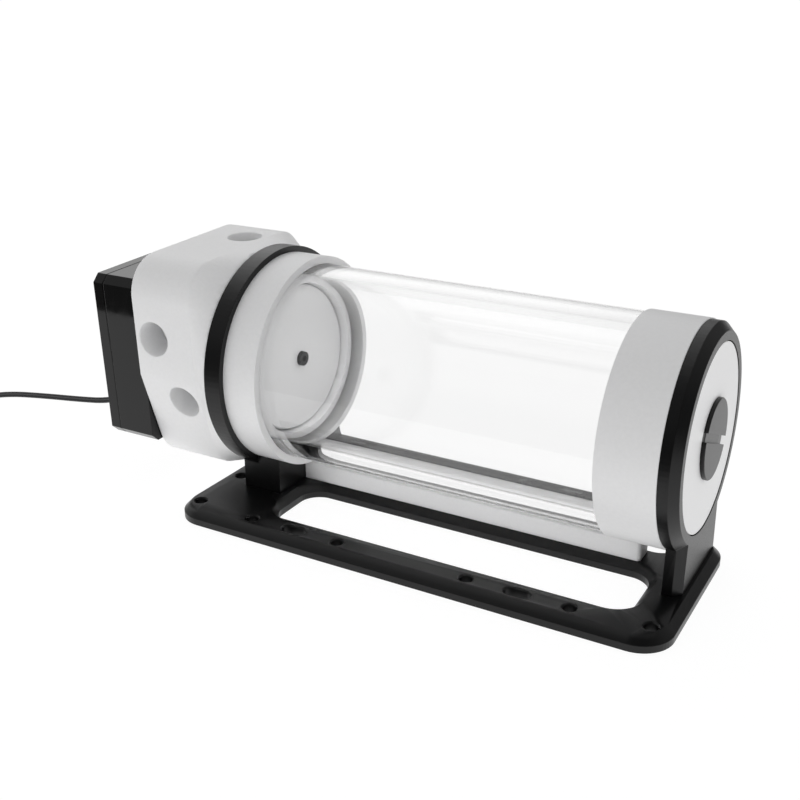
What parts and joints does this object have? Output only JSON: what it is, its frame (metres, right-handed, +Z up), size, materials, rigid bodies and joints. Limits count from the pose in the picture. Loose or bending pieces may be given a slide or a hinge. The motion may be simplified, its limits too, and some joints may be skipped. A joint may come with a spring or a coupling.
{
  "type": "coolant pump reservoir",
  "caption": "Clear tube reservoir lying on a bevelled base plate, held by two ring brackets, with a white pump top and a black pump at one end and a coin-slot fill plug at the other.",
  "frame": {"origin": "on the underside of the base plate, at the plate's mid-length, straight under the tube's axis", "axes": "+X along the tube from the pump to the fill plug, +Y away from the camera, +Z up"},
  "size_m": [0.3968, 0.094, 0.0962],
  "materials": {
    "black_anodised": "satin black anodised",
    "white_acetal": "machined white acetal",
    "clear_acrylic": "clear extruded acrylic",
    "black_plastic": "glossy black moulding",
    "black_rubber": "black seal rubber",
    "screw_steel": "blackened steel",
    "wheel_plastic": "dark moulded plastic",
    "magnet": "grey ferrite",
    "ceramic": "polished ceramic",
    "lamination": "stacked steel sheet",
    "copper": "enamelled copper wire",
    "board": "green circuit board",
    "cable_jacket": "black insulation"
  },
  "bodies": {
    "reservoir": {"anti_vortex_disc": "white_acetal", "base_plate": "black_anodised", "bearing_ball": "ceramic", "cable": "cable_jacket", "cable_coil": "cable_jacket", "cable_connector": "black_plastic", "cable_grommet": "black_rubber", "cable_tail": "cable_jacket", "cable_tie": "wheel_plastic", "cap_end_o_ring": "black_rubber", "centre_bar": "white_acetal", "centre_bar_screws": "screw_steel", "chamber_o_ring": "black_rubber", "circuit_board": "board", "disc_screw": "screw_steel", "end_cap": "white_acetal", "isolation_cup": "wheel_plastic", "left_bracket": "black_anodised", "left_bracket_screws": "screw_steel", "pump_end_o_ring": "black_rubber", "pump_housing": "black_plastic", "pump_lid": "black_plastic", "pump_screws": "screw_steel", "pump_top": "white_acetal", "right_bracket": "black_anodised", "right_bracket_screws": "screw_steel", "stator_coils": "copper", "stator_core": "lamination", "tube": "clear_acrylic"},
    "rotor": {"impeller": "wheel_plastic", "rotor_magnet": "magnet", "bearing_cup": "wheel_plastic"},
    "plug_seal": {"fill_plug_o_ring": "black_rubber"},
    "plug": {"fill_plug": "black_anodised"}
  },
  "joints": [
    {"name": "impeller_spin", "type": "hinge", "parent": "reservoir", "child": "rotor", "pos_m": [-0.1233, 0, 0.0534], "axis": [1, 0, 0], "continuous": true},
    {"name": "plug_rise", "type": "slide", "parent": "reservoir", "child": "plug_seal", "axis": [1, 0, 0], "range_m": [0, 0.0091]},
    {"name": "plug_turn", "type": "hinge", "parent": "plug_seal", "child": "plug", "pos_m": [0.0912, 0, 0.0534], "axis": [1, 0, 0], "range_deg": [0, 1800]}
  ],
  "couplings": [
    {"joint": "plug_rise", "follows": "plug_turn", "m_per_rad": 0.00028871}
  ]
}
